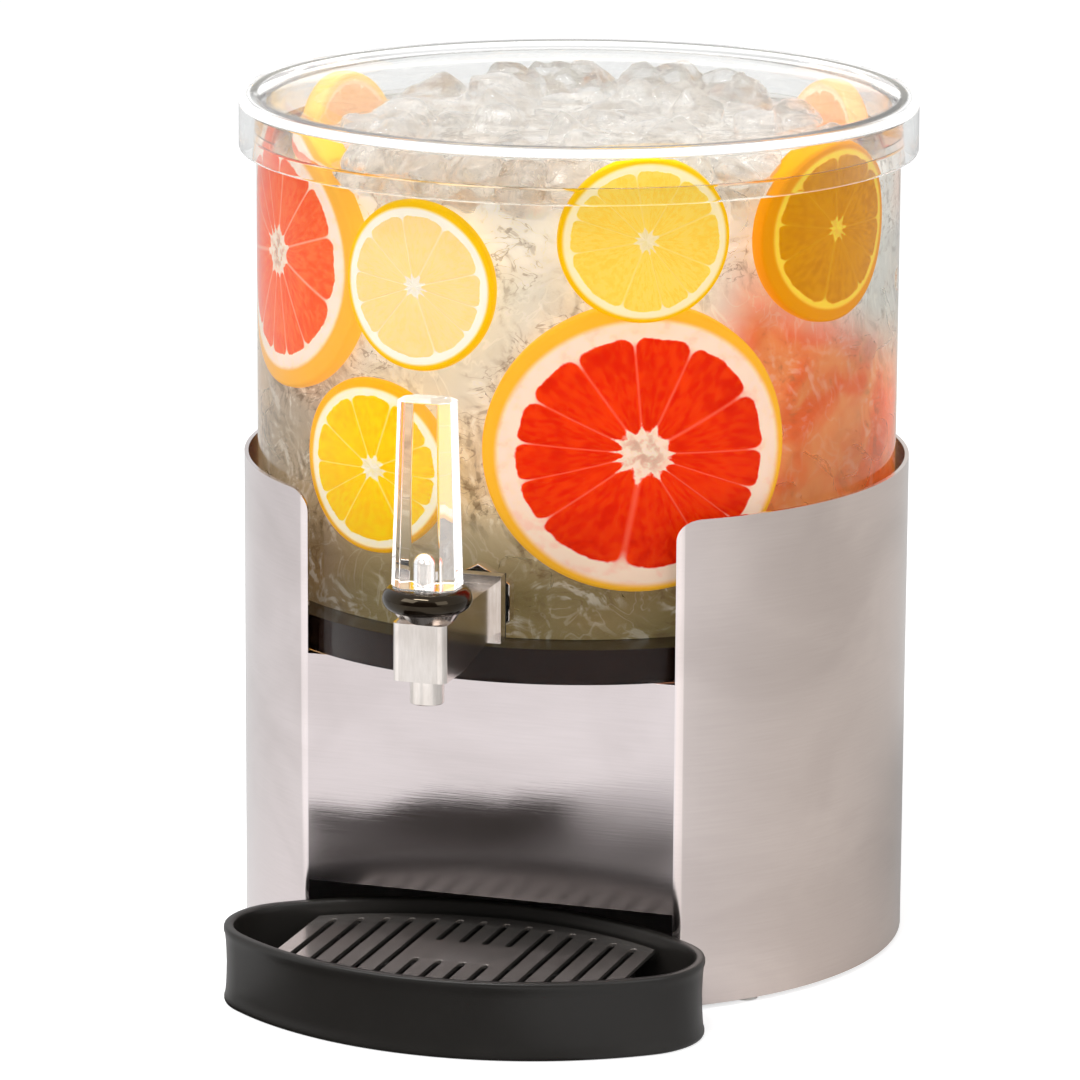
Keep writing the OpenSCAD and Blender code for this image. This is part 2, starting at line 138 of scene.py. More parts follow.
def softened(node, width, material, body):
    """Copy of a CAD node with its sharp edges rounded, standing for the node."""
    seam, level, sharp_from = 0.001 * MM, math.radians(0.3), math.radians(32)
    copied = nodes[node].data.copy()
    if "custom_normal" in copied.attributes:
        copied.attributes.remove(copied.attributes["custom_normal"])

    def build(bm):
        bm.from_mesh(copied)
        bmesh.ops.remove_doubles(bm, verts=bm.verts, dist=seam)
        bmesh.ops.dissolve_limit(bm, angle_limit=level, verts=bm.verts, edges=bm.edges)
        sharp = [e for e in bm.edges if len(e.link_faces) == 2 and e.calc_face_angle() > sharp_from]
        bmesh.ops.bevel(bm, geom=sharp, offset=width, segments=3, profile=0.5, affect="EDGES",
                        clamp_overlap=True)

    obj = piece(node + "_soft", mesh_from(node + "_soft", build), material, body)
    weighted = obj.modifiers.new("normals", "WEIGHTED_NORMAL")
    weighted.keep_sharp = True
    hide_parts(node)
    return obj


# Shader graphs

class Graph:
    """One material's nodes, with short names for those used here."""

    def __init__(self, name):
        self.material = bpy.data.materials.new(name)
        self.material.use_nodes = True
        self.tree = self.material.node_tree
        self.shader = self.tree.nodes["Principled BSDF"]

    @classmethod
    def of_tree(cls, tree):
        """The same short names for nodes that aren't a material's."""
        made = cls.__new__(cls)
        made.tree = tree
        return made

    def put(self, socket, value):
        if isinstance(value, bpy.types.NodeSocket):
            self.tree.links.new(value, socket)
        else:
            socket.default_value = value

    def surface(self, **values):
        """Sets the shader's sockets: words joined by _ name a socket."""
        for words, value in values.items():
            self.put(self.shader.inputs[words.replace("_", " ")], value)

    def node(self, kind, output=0, inputs=(), **settings):
        made = self.tree.nodes.new("ShaderNode" + kind)
        for name, value in settings.items():
            setattr(made, name, value)
        for index, value in inputs:
            self.put(made.inputs[index], value)
        return made.outputs[output]

    def place(self):
        return self.node("TexCoord", "Object")

    def attribute(self, name):
        return self.node("Attribute", "Vector", attribute_name=name)

    def math(self, operation, *values):
        return self.node("Math", inputs=enumerate(values), operation=operation)

    def plus(self, one, two):
        return self.math("ADD", one, two)

    def minus(self, one, two):
        return self.math("SUBTRACT", one, two)

    def times(self, one, two):
        return self.math("MULTIPLY", one, two)

    def parts(self, vector):
        split = self.tree.nodes.new("ShaderNodeSeparateXYZ")
        self.put(split.inputs[0], vector)
        return split.outputs[0], split.outputs[1], split.outputs[2]

    def join(self, x, y, z=0.0):
        return self.node("CombineXYZ", inputs=((0, x), (1, y), (2, z)))

    def scaled(self, vector, factors):
        return self.node("VectorMath", inputs=((0, vector), (1, factors)), operation="MULTIPLY")

    def noise(self, vector, scale, detail=3.0, rough=0.55, twist=0.0):
        inputs = (("Vector", vector), ("Scale", scale), ("Detail", detail), ("Roughness", rough),
                  ("Distortion", twist))
        return self.node("TexNoise", "Fac", inputs)

    def step(self, value, low, high):
        """0 below low, 1 above high, smooth between; low may be the higher one."""
        inputs = (("Value", value), ("From Min", low), ("From Max", high))
        return self.node("MapRange", 0, inputs, interpolation_type="SMOOTHSTEP")

    def span(self, value, low, high):
        """A value from 0 to 1 spread from low to high."""
        return self.node("MapRange", 0, (("Value", value), ("To Min", low), ("To Max", high)))

    def mix(self, factor, one, two):
        made = self.tree.nodes.new("ShaderNodeMix")
        made.data_type = "RGBA"
        for index, value in ((0, factor), (6, one), (7, two)):
            self.put(made.inputs[index], value)
        return made.outputs[2]

    def blend(self, factor, one, two):
        """Number between two numbers."""
        return self.node("Mix", 0, ((0, factor), (2, one), (3, two)))

    def bump(self, height, distance, strength=1.0):
        inputs = (("Height", height), ("Distance", distance), ("Strength", strength))
        return self.node("Bump", 0, inputs)


def rgb(red, green, blue):
    """Colour from the 0 to 255 values that a picture shows."""
    shares = (c / 255 for c in (red, green, blue))
    return (*(s / 12.92 if s < 0.04045 else ((s + 0.055) / 1.055) ** 2.4 for s in shares), 1.0)


def bearing_of(g, place):
    """Angle about the container's axis, from the front towards +X, and the height."""
    x, y, z = g.parts(place)
    away = g.minus(AXIS.y, y)
    return g.math("ARCTAN2", g.minus(x, AXIS.x), away), z


# Materials

WHITE = (1.0, 1.0, 1.0, 1.0)
ACRYLIC_INDEX = 1.49
ACRYLIC_TINT = (0.985, 0.993, 0.99, 1.0)
# Share of the head-on glare that is left on the clear parts, as under a polarising filter
CALM = (0.02, 0.02, 0.02, 1.0)


def brushed_sheet():
    """Brushed stainless sheet: fine level lines, clouds, a warm right side and a smooth front panel.

    The warm right side is a painted reflection tint.
    """
    half_panel, soft = 71 * MM, 0.5 * MM
    g = Graph("brushed_shell")
    place = g.place()
    angle, height = bearing_of(g, place)
    lines = g.join(g.times(angle, 40 * TUBE_R), 0.0, g.times(height, 1400.0))
    fine = g.noise(lines, 1.0, 4.0, 0.7)
    broad = g.noise(g.scaled(place, (12.0, 12.0, 17.0)), 1.0, 3.0, 0.55, 0.6)
    x, y, _ = g.parts(place)
    between = g.step(g.math("ABSOLUTE", x), half_panel + soft, half_panel - soft)
    panel = g.times(between, g.step(y, -50 * MM, -60 * MM))
    low_down = g.step(height, 66 * MM, 50 * MM)
    smooth = g.blend(low_down, g.span(fine, 0.05, 0.09), g.span(fine, 0.12, 0.16))
    roughness = g.blend(panel, g.span(fine, 0.1, 0.16), smooth)
    # Painted reflection: the sheet's colour turns warmer towards the right side
    warm = g.mix(g.step(x, 40 * MM, 120 * MM), rgb(236, 226, 226), rgb(236, 220, 211))
    sheet = g.mix(panel, warm, rgb(229, 219, 220))
    cloudy = g.mix(g.times(g.step(broad, 0.35, 0.7), 0.17), sheet, rgb(120, 105, 96))
    lined = g.mix(g.times(g.step(fine, 0.3, 0.7), 0.06), cloudy, rgb(140, 128, 122))
    g.surface(Base_Color=lined, Metallic=1.0, Roughness=roughness, Anisotropic=0.25,
              Normal=g.bump(fine, 0.006 * MM))
    g.put(g.shader.inputs["Tangent"], g.node("Tangent", direction_type="RADIAL", axis="Z"))
    return g.material


def satin_metal(name, light, dark, roughness, across, bare=1.0):
    """Satin metal with fine lines: the factors say how close they lie along each axis.

    The share that isn't bare is dull and looks alike from all sides.
    """
    spread = 0.05
    g = Graph(name)
    place = g.place()
    fine = g.noise(g.scaled(place, across), 1.0, 4.0, 0.7)
    broad = g.noise(place, 60.0, 3.0, 0.5)
    tone = g.plus(g.times(fine, 0.45), g.times(broad, 0.55))
    g.surface(Base_Color=g.mix(g.step(tone, 0.3, 0.7), dark, light), Metallic=bare,
              Roughness=g.span(fine, roughness - spread, roughness + spread),
              Normal=g.bump(fine, 0.006 * MM))
    return g.material


def clear_plastic(name, tint=ACRYLIC_TINT, glare=CALM, **more):
    """Graph of polished clear plastic with a faint moulding wave."""
    g = Graph(name)
    wave = g.noise(g.place(), 22.0, 1.0)
    g.surface(Base_Color=tint, Roughness=0.0, IOR=ACRYLIC_INDEX, Transmission_Weight=1.0,
              Specular_Tint=glare, Normal=g.bump(wave, 0.05 * MM, 0.3), **more)
    return g


def clear_lid():
    """Clear plastic: rim and lip white with the light in them, and a plate that hardly shows.

    Beside the rim the plate is darker, as if light were turned back at the corner inside, but not in
    front.
    """
    rim_glow, lip_glow, plate = 0.7, 0.3, 0.2
    g = clear_plastic("clear_lid", Emission_Color=(1.0, 1.0, 0.97, 1.0))
    x, y, z = g.parts(g.place())
    away = g.node("VectorMath", "Value", ((0, g.join(x, y)), (1, AXIS)), operation="DISTANCE")
    rim = g.times(g.step(away, LID_R - 1.8 * MM, LID_R - 0.6 * MM),
                  g.step(z, tube_high.z - 0.2 * MM, tube_high.z + 0.8 * MM))
    lip = g.step(z, lid_low.z + 0.6 * MM, lid_low.z + 0.2 * MM)
    ring = g.times(g.step(away, LID_R - 9 * MM, LID_R - 6.5 * MM),
                   g.step(away, LID_R - 3.5 * MM, LID_R - 4.8 * MM))
    ring = g.times(ring, g.step(z, lid_high.z - 0.6 * MM, lid_high.z - 0.2 * MM))
    ring = g.times(ring, g.step(y, AXIS.y - 0.6 * LID_R, AXIS.y - 0.3 * LID_R))
    shown = g.span(g.step(away, LID_R - 9 * MM, LID_R - 5 * MM), plate, 1.0)
    g.surface(Base_Color=g.mix(ring, ACRYLIC_TINT, (0.06, 0.055, 0.035, 1.0)),
              Emission_Strength=g.plus(g.times(rim, rim_glow), g.times(lip, lip_glow)),
              Alpha=g.math("MAXIMUM", shown, ring))
    return g.material


def clear_handle():
    """Clear plastic with a bright top and right side, where the light that runs inside leaves it."""
    top_glow, side_glow = 0.45, 0.28
    foot_width, top_width = 24 * MM, 20 * MM
    g = clear_plastic("clear_handle", (0.985, 0.99, 0.99, 1.0), (0.5, 0.5, 0.5, 1.0),
                      Emission_Color=(1.0, 0.97, 0.95, 1.0))
    x, _, z = g.parts(g.place())
    low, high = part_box("tap_handle")
    up = g.math("DIVIDE", g.minus(z, low.z), high.z - low.z)
    outwards = g.math("DIVIDE", x, g.span(up, high.x, high.x * top_width / foot_width))
    top = g.times(g.step(z, high.z - 0.35 * MM, high.z - 0.1 * MM), top_glow)
    side = g.times(g.step(outwards, 0.6, 0.66), side_glow)
    g.surface(Emission_Strength=g.math("MAXIMUM", top, side))
    return g.material


def moulded_black(name, colour, roughness, grain, gloss, shine=WHITE):
    """Black plastic with a fine moulded grain and a little unevenness in its gloss."""
    g = Graph(name)
    place = g.place()
    fine = g.noise(place, 2600.0, 2.0, 0.6)
    broad = g.noise(place, 30.0, 3.0, 0.5)
    g.surface(Base_Color=g.mix(broad, colour, [c * 1.6 for c in colour[:3]] + [1.0]),
              Roughness=g.span(broad, 0.75 * roughness, 1.25 * roughness), Specular_IOR_Level=gloss,
              Specular_Tint=shine, Normal=g.bump(fine, grain))
    return g.material


def soft_rubber(name, colour, shine):
    """Matte rubber or silicone with a powdery surface."""
    g = Graph(name)
    place = g.place()
    dust = g.noise(place, 900.0, 4.0, 0.6)
    g.surface(Base_Color=g.mix(dust, colour, [min(1.0, c * 1.3) for c in colour[:3]] + [1.0]),
              Roughness=g.span(dust, shine, shine + 0.15), Normal=g.bump(dust, 0.02 * MM))
    return g.material


def citrus(name, segments, rind, pith, core, skin, white, flesh, deep, fade):
    """Cut citrus face: rind, pith, rounded segments with juice sacs, thin walls and a star-shaped core.

    The widths are shares of the radius, and fade is how far the walls take on the flesh's colour.
    """
    g = Graph(name)
    x, y, _ = g.parts(g.attribute("flat"))
    radius = g.math("SQRT", g.plus(g.times(x, x), g.times(y, y)))
    angle = g.math("ARCTAN2", y, x)
    sway = g.plus(g.times(g.math("SINE", g.times(angle, 2.0)), 0.16),
                  g.times(g.math("SINE", g.math("MULTIPLY_ADD", angle, 3.0, 1.0)), 0.09))
    turned = g.plus(angle, sway)
    share = g.math("FRACT", g.times(turned, segments / (2 * math.pi)))
    beside = g.math("MINIMUM", share, g.minus(1.0, share))
    beside = g.times(g.times(beside, 2 * math.pi / segments), radius)
    ragged = g.noise(g.join(x, y), 9.0, 3.0)
    edge = 1 - rind - pith
    inside = g.minus(g.math("MULTIPLY_ADD", ragged, 0.05, edge - 0.025), radius)

    corner = 0.085
    near_wall = g.math("MAXIMUM", g.minus(corner, beside), 0.0)
    near_edge = g.math("MAXIMUM", g.minus(corner, inside), 0.0)
    both = g.join(near_wall, near_edge)
    out_of_corner = g.node("VectorMath", "Value", ((0, both),), operation="LENGTH")
    in_segment = g.step(g.minus(corner, out_of_corner), 0.0, 0.014)
    spikes = g.times(g.step(beside, 0.03, 0.0), 0.05)
    reach = g.minus(g.math("MULTIPLY_ADD", ragged, -0.2, radius), spikes)
    off_core = g.step(reach, core - 0.13, core - 0.09)

    along = g.join(g.times(turned, 7.0), g.times(radius, 4.5))
    sacs = g.noise(along, 2.2, 4.0, 0.6, 0.4)
    cloud = g.noise(g.join(x, y), 2.6, 2.0)
    mottle = g.plus(g.times(sacs, 0.7), g.times(cloud, 0.3))
    pulp = g.mix(g.step(mottle, 0.38, 0.62), deep, flesh)
    drawn_in = g.times(g.times(g.step(inside, 0.0, 0.14), fade), off_core)
    specks = g.step(g.noise(g.join(x, y), 14.0, 2.0), 0.4, 0.6)
    dull = g.times(g.step(radius, 0.2, 0.1), specks)
    blushed = g.mix(g.times(g.step(ragged, 0.45, 0.7), core), white, flesh)
    marrow = g.mix(g.times(dull, 15 * core ** 2), blushed, rgb(120, 92, 60))
    walls = g.mix(drawn_in, marrow, flesh)
    face = g.mix(g.times(in_segment, off_core), walls, pulp)
    ring = g.step(radius, 1 - rind - 0.03, 1 - rind + 0.02)
    pores = g.noise(g.place(), 900.0, 2.0)
    peel = g.mix(g.times(pores, 0.2), skin, [c * 0.62 for c in skin[:3]] + [1.0])
    colour = g.mix(ring, face, peel)
    _, _, height = g.parts(g.place())
    # Painted glow, made weaker low down as painted shade where the base's wings hide the fruit
    glow = g.span(g.step(height, 155 * MM, 205 * MM), 0.55 * FRUIT_GLOW, FRUIT_GLOW)
    relief = g.plus(g.times(in_segment, 0.6), g.times(sacs, 0.4))
    g.surface(Base_Color=colour, Roughness=g.span(sacs, 0.4, 0.55), Specular_IOR_Level=0.05,
              Emission_Color=colour, Emission_Strength=glow, Normal=g.bump(relief, 0.5 * MM, 0.4))
    return g.material


def slush():
    """Packed ice in the drink: pale above, peach on the right, olive below, with the cubes' edges.

    Its colour holds painted light and shade: olive and darker low down and lower on the left, for the
    shade of the base's wings, the crumpled ice painted lit and shaded, and the cubes' edges painted as
    dark shade lines with pale highlight lines.
    """
    shadow, shift = rgb(104, 84, 58), 0.8 * MM
    g = Graph("slush")
    place = g.place()
    angle, height = bearing_of(g, place)
    flat = g.join(g.times(angle, SLUSH_R), height, 0.0)

    def veins(scales, twist, width):
        """Thin bent lines where a noise passes its middle."""
        off_middle = g.minus(g.noise(g.scaled(flat, scales), 1.0, 3.0, 0.5, twist), 0.5)
        return g.step(g.math("ABSOLUTE", off_middle), width, 0.25 * width)

    def crumple(by):
        """Crumpled height of the ice, looked up that far to one side."""
        moved = g.node("VectorMath", 0, ((0, flat), (1, (by, by, 0.0))), operation="ADD")
        return g.noise(moved, 62.0, 4.0, 0.6, 1.1)

    swirl = g.noise(flat, 26.0, 3.0, 0.5, 1.2)
    patches = g.noise(flat, 34.0, 2.0, 0.5)
    relief = g.minus(crumple(shift), crumple(-shift))
    deep = g.step(height, 235 * MM, 170 * MM)
    side = g.times(g.step(angle, 0.75, 1.0), g.step(angle, 2.5, 1.9))
    round_the_side = g.math("MAXIMUM", g.minus(angle, 0.95), 0.0)
    raised = g.math("MULTIPLY_ADD", round_the_side, 40 * MM, height)
    side = g.times(side, g.step(raised, 276 * MM, 245 * MM))
    left = g.times(g.step(angle, -0.45, -0.8), g.step(height, 250 * MM, 215 * MM))

    # Painted shade: darker and olive low down, and darker lower on the left, where the base's wings
    # shade the drink
    low = g.mix(g.step(height, 150 * MM, 185 * MM), rgb(124, 110, 74), rgb(198, 184, 152))
    pale = g.mix(g.step(height, 175 * MM, 245 * MM), low, rgb(211, 212, 206))
    pale = g.mix(g.step(height, 260 * MM, 282 * MM), pale, rgb(231, 230, 224))
    left_shaded = g.mix(g.times(left, 0.45), pale, rgb(146, 108, 80))
    warm = g.mix(g.step(swirl, 0.35, 0.65), rgb(226, 100, 46), rgb(230, 142, 86))
    tint = g.mix(side, left_shaded, warm)
    upper = g.step(height, LEVEL - 12 * MM, LEVEL - 6 * MM)
    # Painted light and shade on the heaped ice on top: lumps lighter and darker, and shade in the
    # creases
    lumps = g.step(g.noise(place, 58.0, 4.0, 0.6, 1.0), 0.4, 0.6)
    heaped = g.mix(lumps, rgb(205, 196, 184), rgb(240, 236, 230))
    across = g.math("ABSOLUTE", g.minus(g.noise(place, 48.0, 3.0, 0.5, 1.4), 0.5))
    crease_shaded = g.mix(g.times(g.step(across, 0.03, 0.006), 0.5), heaped, rgb(112, 100, 88))
    top = g.mix(upper, tint, crease_shaded)
    calm = g.math("MAXIMUM", g.times(side, 0.6), upper)
    lively = g.minus(1.0, calm)
    broken = g.times(g.step(patches, 0.34, 0.62), lively)
    # Painted light and shade: the crumpled ice is shaded on one side of each ridge and lit on the other
    depth = g.times(g.span(g.math("MAXIMUM", deep, left), 0.46, 0.66), broken)
    shaded = g.mix(g.times(g.step(relief, 0.01, 0.12), depth), top, shadow)
    raised_side = g.times(g.step(relief, -0.01, -0.12), depth)
    lit = g.mix(raised_side, shaded, g.mix(g.span(deep, 0.75, 0.45), top, (1, 1, 0.95, 1)))
    # Painted shade in dark lines along the ice's edges, and painted highlights in pale lines beside them
    shaded_edges = g.times(veins((60.0, 95.0, 1.0), 1.6, 0.016), g.step(patches, 0.44, 0.56))
    shaded_edge_share = g.times(lively, 0.46)
    edged = g.mix(g.times(shaded_edges, shaded_edge_share), lit, rgb(104, 80, 56))
    highlight_edges = g.times(veins((55.0, 38.0, 1.0), 1.2, 0.014), g.step(patches, 0.56, 0.42))
    highlight_share = g.times(lively, g.span(deep, 0.36, 0.14))
    colour = g.mix(g.times(highlight_edges, highlight_share), edged, g.mix(0.6, top, (1, 1, 0.92, 1)))
    g.surface(Base_Color=colour, Roughness=g.span(swirl, 0.3, 0.5), Specular_IOR_Level=0.2,
              Emission_Color=colour, Emission_Strength=g.span(upper, SLUSH_GLOW, 1.15 * SLUSH_GLOW),
              Normal=g.bump(crumple(0.0), 2 * MM, 0.3))
    return g.material


def clear_water():
    """The drink itself, clear and a little warm."""
    g = Graph("drink_water")
    ripple = g.noise(g.place(), 60.0, 2.0)
    g.surface(Base_Color=(1.0, 0.985, 0.96, 1.0), Roughness=0.0, IOR=1.33, Transmission_Weight=1.0,
              Specular_Tint=CALM, Normal=g.bump(ripple, 0.05 * MM, 0.3))
    return g.material


def clear_ice(name, index, frost, crest_index):
    """Melting ice: clear, with fine cracks and some white frost.

    It is browner at the top of the front wall, a painted tint for brown reflections there, and its crest
    at the back is clearer, with its own index.
    """
    g = Graph(name)
    place = g.place()
    _, y, z = g.parts(place)
    crest = g.times(g.step(y, AXIS.y + 0.35 * INNER_R, AXIS.y + 0.55 * INNER_R),
                    g.step(z, LEVEL + 1 * MM, LEVEL + 5 * MM))
    cracks = g.noise(place, 140.0, 5.0, 0.65, 1.5)
    frosted = g.span(crest, frost, 0.4 * frost)
    white = g.times(g.step(g.noise(place, 75.0, 4.0, 0.6, 0.8), 0.4, 0.7), frosted)
    cracked = g.mix(g.step(cracks, 0.4, 0.7), (1.0, 0.995, 0.985, 1), (0.95, 0.93, 0.9, 1))
    # Painted reflection: browner at the top of the front wall
    front = g.times(g.step(y, AXIS.y - 0.7 * INNER_R, AXIS.y - 0.85 * INNER_R),
                    g.step(z, LEVEL - 14 * MM, LEVEL - 8 * MM))
    tint = g.mix(front, cracked, (0.88, 0.76, 0.66, 1))
    g.surface(Base_Color=tint, Roughness=0.0, IOR=g.span(crest, index, crest_index),
              Transmission_Weight=g.minus(1.0, white), Coat_Weight=frost, Coat_IOR=1.6,
              Normal=g.bump(cracks, 1.5 * MM, 0.35))
    return g.material


STEEL = brushed_sheet()
GRILLE_STEEL = satin_metal("grille_steel", rgb(215, 208, 203), rgb(196, 188, 182), 0.22, (60, 1500, 60),
                           bare=0.93)
TAP_METAL = satin_metal("tap_metal", rgb(236, 229, 224), rgb(214, 205, 198), 0.17, (900, 900, 120))
SPRING_STEEL = satin_metal("spring_steel", rgb(200, 200, 200), rgb(180, 180, 180), 0.2, (900, 900, 900))
CLEAR = clear_plastic("clear_acrylic").material
CLEAR_LID = clear_lid()
CLEAR_HANDLE = clear_handle()
FLOOR_BLACK = moulded_black("black_acrylic", rgb(34, 21, 17), 0.16, 0.002 * MM, 0.15)
# Painted reflection tint: the bonnet's gloss is tinted brown for the brown light that it reflects
BONNET_BLACK = moulded_black("bonnet_black", rgb(15, 9, 5), 0.06, 0.001 * MM, 0.4,
                             shine=(1.0, 0.82, 0.58, 1.0))
TRAY_BLACK = moulded_black("tray_black", rgb(29, 27, 25), 0.36, 0.03 * MM, 0.3)
RUBBER = soft_rubber("rubber", rgb(30, 30, 30), 0.7)
PALE_RUBBER = soft_rubber("pale_rubber", rgb(216, 213, 209), 0.6)
SILICONE = soft_rubber("silicone", rgb(205, 207, 203), 0.45)
GRAPEFRUIT = citrus("grapefruit", 13, 0.04, 0.12, 0.17, rgb(255, 186, 50), rgb(254, 224, 200),
                    rgb(250, 60, 6), rgb(216, 30, 0), 0.93)
PALE_GRAPEFRUIT = citrus("pale_grapefruit", 12, 0.045, 0.105, 0.18, rgb(255, 184, 60),
                         rgb(255, 232, 212), rgb(255, 114, 54), rgb(246, 86, 34), 0.72)
LEMON = citrus("lemon", 10, 0.07, 0.085, 0.11, rgb(255, 200, 16), rgb(255, 248, 232),
               rgb(255, 224, 158), rgb(253, 214, 138), 0.8)
DEEP_LEMON = citrus("deep_lemon", 10, 0.06, 0.075, 0.11, rgb(255, 198, 12), rgb(255, 238, 190),
                    rgb(255, 218, 98), rgb(254, 208, 74), 0.85)
ORANGE = citrus("orange", 10, 0.05, 0.085, 0.13, rgb(255, 184, 24), rgb(255, 244, 212),
                rgb(255, 212, 12), rgb(253, 192, 0), 0.8)
AMBER = citrus("amber_orange", 9, 0.07, 0.06, 0.11, rgb(236, 152, 0), rgb(254, 208, 66),
               rgb(220, 150, 0), rgb(206, 132, 0), 0.9)
PALE_ORANGE = citrus("pale_orange", 10, 0.1, 0.05, 0.13, rgb(238, 194, 104), rgb(236, 198, 150),
                     rgb(232, 180, 124), rgb(226, 168, 108), 0.9)
PEACH = citrus("peach_grapefruit", 12, 0.06, 0.08, 0.15, rgb(254, 190, 128), rgb(250, 204, 164),
               rgb(248, 170, 116), rgb(244, 158, 100), 0.9)
SLUSH = slush()
WATER = clear_water()
ICE = clear_ice("clear_ice", 1.31, 0.35, 1.15)
SUNK_ICE = clear_ice("sunk_ice", 1.035, 0.0, 1.035)


# Clear container, lid and handle

def container_tube():
    rim = 1.2 * MM
    low, high = tube_low.z + AIR, tube_high.z - AIR
    profile = [(INNER_R, low), (TUBE_R, low)]
    profile += [(TUBE_R, low + (high - low) * share) for share in (0.08, 0.22, 0.5)]
    profile += arc((TUBE_R - rim, high - rim), rim, 0, 90)
    profile += arc((INNER_R + rim, high - rim), rim, 90, 180)
    profile += [(INNER_R, low + (high - low) * share) for share in (0.5, 0.22, 0.08)]
    mesh = mesh_from("container_tube_clear", lambda bm: lathe(bm, profile, closed=True))
    obj = piece("container_tube_clear", mesh, CLEAR, "container")
    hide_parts("container_tube")


def lid():
    top, low = lid_high.z, lid_low.z
    edge, lip, nook = 2 * MM, 0.8 * MM, 1.5 * MM
    inside = LID_R - LID_T
    profile = [(0.5 * MM, top), (0.5 * LID_R, top)]
    profile += arc((LID_R - edge, top - edge), edge, 90, 0, 8)
    profile += arc((LID_R - lip, low + lip), lip, 0, -90)
    profile += arc((inside + lip, low + lip), lip, 270, 180)
    profile += arc((inside - nook, top - LID_T - nook), nook, 0, 90)
    profile += [(0.5 * LID_R, top - LID_T), (0.5 * MM, top - LID_T)]
    mesh = mesh_from("lid_clear", lambda bm: lathe(bm, profile, closed=False))
    obj = piece("lid_clear", mesh, CLEAR_LID, "lid")
    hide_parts("lid")


# Closing spring

def closing_spring():
    """Spring wire, a copy of the CAD spring on its own mesh."""
    mesh = nodes["closing_spring"].data.copy()
    obj = piece("closing_spring_wire", mesh, SPRING_STEEL, "container", 60)
    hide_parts("closing_spring")
    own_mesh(obj)


# Drip tray

def drip_tray():
    """Oval tray with a drawn-in wall, a rounded rim and four posts under the grille."""
    low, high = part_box("drip_tray")
    grille_low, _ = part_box("drip_grille")
    middle = (low + high) / 2
    half_w, half_d = (high.x - low.x) / 2, (high.y - low.y) / 2
    end_r = 28.8 * MM
    end_c = half_w - end_r
    side_r = (half_d ** 2 - end_r ** 2 + end_c ** 2) / (2 * (half_d - end_r))
    side_c = side_r - half_d
    joint = math.atan2(side_c, end_c)

    def oval(inset):
        """Points around the oval, by the direction that its wall faces."""
        points = []
        for start, sweep, centre, radius, steps in (
            (-joint, 2 * joint, (end_c, 0), end_r, 40),
            (joint, math.pi - 2 * joint, (0, -side_c), side_r, 64),
            (math.pi - joint, 2 * joint, (-end_c, 0), end_r, 40),
            (math.pi + joint, math.pi - 2 * joint, (0, side_c), side_r, 64),
        ):
            for i in range(steps):
                a = start + sweep * i / steps
                points.append((centre[0] + (radius - inset) * math.cos(a),
                               centre[1] + (radius - inset) * math.sin(a)))
        return points

    # Section from the underside up the wall, over the rim and down to the floor inside, in millimetres:
    # how far it lies in from the oval, and its height
    profile = [(1.0, 0), (0.3, 0.3), (0, 0.9), (0, 1.8), (0.4, 3.0), (0.7, 6), (0.9, 10), (1.0, 14.5)]
    profile += [(0.9, 19), (0.7, 23), (0.4, 25.8), (0, 26.9), (0, 28.0), (0.25, 28.7), (0.8, 29)]
    profile += [(2.8, 29), (3.4, 28.75), (3.7, 28.1), (3.8, 26), (3.8, 6)]
    profile += [(4.1, 4.4), (5.0, 3.4), (7.0, 3.0)]
    post_x, post_y, post_r = 53.4 * MM, 26.6 * MM, 4 * MM

    def build(bm):
        rings = []
        for inset, height in profile:
            z = min(height * MM, high.z)
            rings.append([bm.verts.new((middle.x + x, middle.y + y, z)) for x, y in oval(inset * MM)])
        skin_rings(bm, rings, closed=False)
        bm.faces.new(rings[0])
        bm.faces.new(rings[-1])
        for x in (-post_x, post_x):
            for y in (-post_y, post_y):
                foot = [(post_r + 1.5 * MM, 2.9 * MM), (post_r + 0.4 * MM, 3.4 * MM), (post_r, 4.5 * MM)]
                head = arc((post_r - MM, grille_low.z - MM), MM, 0, 90)
                lathe(bm, foot + head, False, 32, Vector((middle.x + x, middle.y + y, 0)))

    mesh = mesh_from("drip_tray_moulded", build)
    obj = piece("drip_tray_moulded", mesh, TRAY_BLACK, "tray", 50)
    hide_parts("drip_tray")


# Contents

def around_axis(bearing, radius, height):
    """Point at a bearing from the front, in radians, and a distance from the container's axis."""
    return AXIS + Vector((radius * math.sin(bearing), -radius * math.cos(bearing), height))


